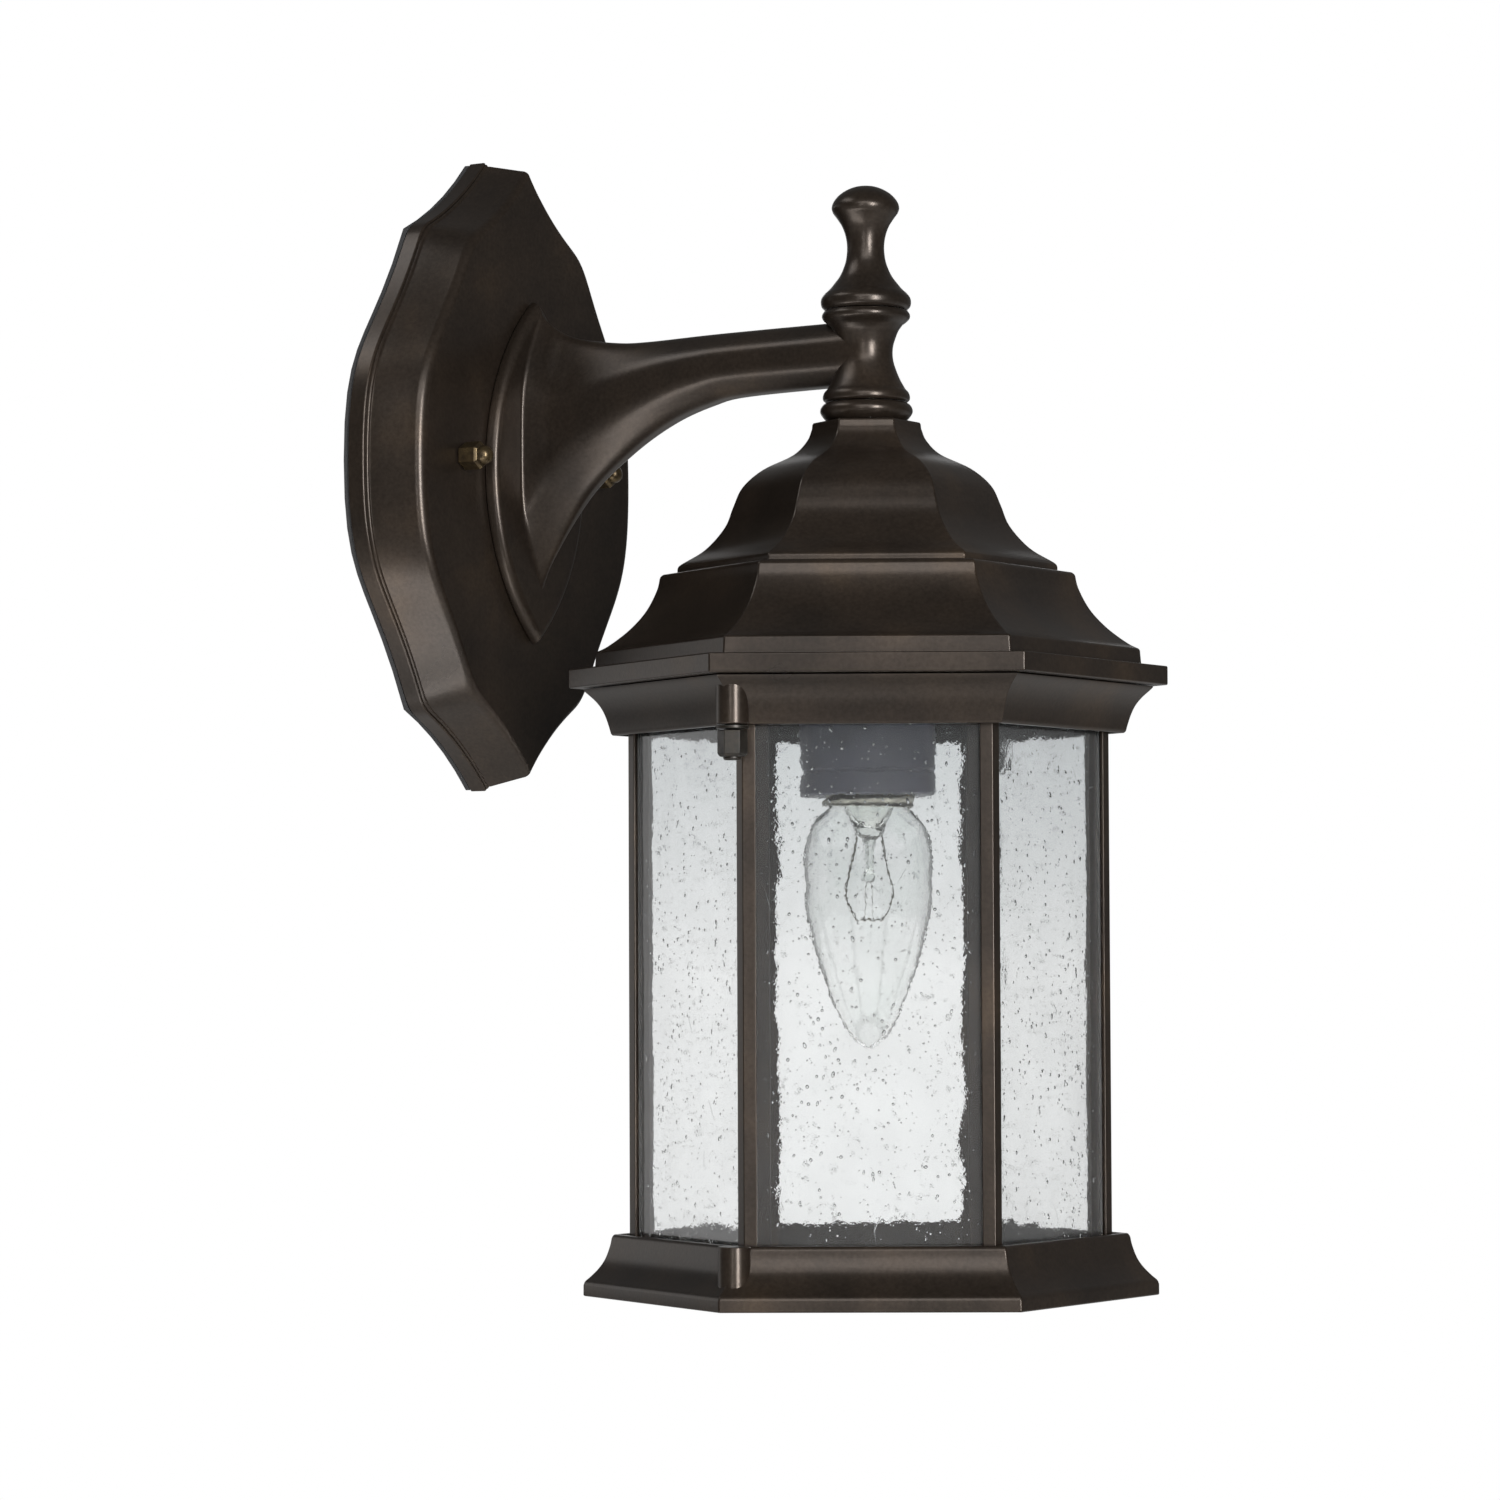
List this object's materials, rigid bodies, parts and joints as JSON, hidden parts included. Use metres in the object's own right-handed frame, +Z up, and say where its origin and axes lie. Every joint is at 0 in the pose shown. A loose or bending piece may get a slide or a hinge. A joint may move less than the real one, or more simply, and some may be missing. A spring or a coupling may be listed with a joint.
{
  "type": "outdoor wall lantern",
  "caption": "Outdoor wall lantern: shaped backplate, cast arm with turned hub and finial, ogee hexagonal roof, seeded glass cage and torpedo bulb.",
  "frame": {"origin": "middle of the backplate on the wall plane", "axes": "+Z up, +Y into the wall, so the lantern stands out along -Y and +X is to the right seen from in front"},
  "size_m": [0.166, 0.2073, 0.3252],
  "materials": {
    "bronze_paint": "cast aluminium, dark bronze paint, satin",
    "wall_nut_paint": "brass, dark bronze finish",
    "cage_nut_paint": "brass, near black finish",
    "zinc_steel": "zinc plated",
    "foam": "closed cell foam",
    "green_screw": "green plated",
    "seeded_glass": "clear seeded",
    "phenolic": "moulded phenolic, satin",
    "shell_brass": "drawn brass",
    "cap_brass": "nickel plated brass",
    "solder": "solder",
    "bulb_glass": "clear, smooth",
    "stem_glass": "clear, smooth",
    "tungsten": "drawn wire",
    "lead_black": "insulation",
    "lead_white": "insulation",
    "lead_green": "insulation"
  },
  "bodies": {
    "bracket": {"crossbar": "zinc_steel", "gasket": "foam", "wall_stud_left": "zinc_steel", "wall_stud_right": "zinc_steel", "backplate": "bronze_paint", "ground_screw": "green_screw", "arm": "bronze_paint", "arm_pipe": "zinc_steel", "arm_washer": "zinc_steel", "arm_lock_nut": "zinc_steel", "collar": "bronze_paint", "centre_pipe": "zinc_steel", "roof": "bronze_paint", "roof_nut": "zinc_steel", "cage_stud_left": "zinc_steel", "cage_stud_right": "zinc_steel", "socket": "phenolic", "screw_shell": "shell_brass", "socket_contact": "shell_brass", "lead_hot": "lead_black", "lead_neutral": "lead_white", "lead_ground": "lead_green"},
    "wall_nut_left": {"wall_nut_left": "wall_nut_paint"},
    "wall_nut_right": {"wall_nut_right": "wall_nut_paint"},
    "finial": {"finial": "bronze_paint"},
    "cage": {"skirt": "bronze_paint", "base": "bronze_paint", "post_1": "bronze_paint", "post_2": "bronze_paint", "post_3": "bronze_paint", "post_4": "bronze_paint", "post_5": "bronze_paint", "post_6": "bronze_paint", "pane_1": "seeded_glass", "pane_2": "seeded_glass", "pane_3": "seeded_glass", "pane_4": "seeded_glass", "pane_5": "seeded_glass", "pane_6": "seeded_glass", "cage_washer_left": "cage_nut_paint", "cage_washer_right": "cage_nut_paint"},
    "cage_nut_left": {"cage_nut_left": "cage_nut_paint"},
    "cage_nut_right": {"cage_nut_right": "cage_nut_paint"},
    "bulb": {"bulb_cap": "cap_brass", "bulb_contact": "solder", "bulb_glass": "bulb_glass", "bulb_stem": "stem_glass", "filament": "tungsten"}
  },
  "joints": [
    {"name": "wall_nut_left_turn", "type": "hinge", "parent": "bracket", "child": "wall_nut_left", "pos_m": [-0.0335, -0.026, 0.002], "axis": [0, -1, 0], "continuous": true},
    {"name": "wall_nut_right_turn", "type": "hinge", "parent": "bracket", "child": "wall_nut_right", "pos_m": [0.0335, -0.026, 0.002], "axis": [0, -1, 0], "continuous": true},
    {"name": "finial_turn", "type": "hinge", "parent": "bracket", "child": "finial", "pos_m": [0, -0.1354, 0.045], "axis": [0, 0, 1], "continuous": true},
    {"name": "cage_drop", "type": "slide", "parent": "bracket", "child": "cage", "axis": [0, 0, -1], "range_m": [0, 0.09]},
    {"name": "cage_nut_left_turn", "type": "hinge", "parent": "cage", "child": "cage_nut_left", "pos_m": [-0.0714, -0.1354, -0.084], "axis": [0, 0, 1], "continuous": true},
    {"name": "cage_nut_right_turn", "type": "hinge", "parent": "cage", "child": "cage_nut_right", "pos_m": [0.0714, -0.1354, -0.084], "axis": [0, 0, 1], "continuous": true},
    {"name": "bulb_turn", "type": "hinge", "parent": "bracket", "child": "bulb", "pos_m": [0, -0.1354, -0.11], "axis": [0, 0, 1], "continuous": true}
  ]
}
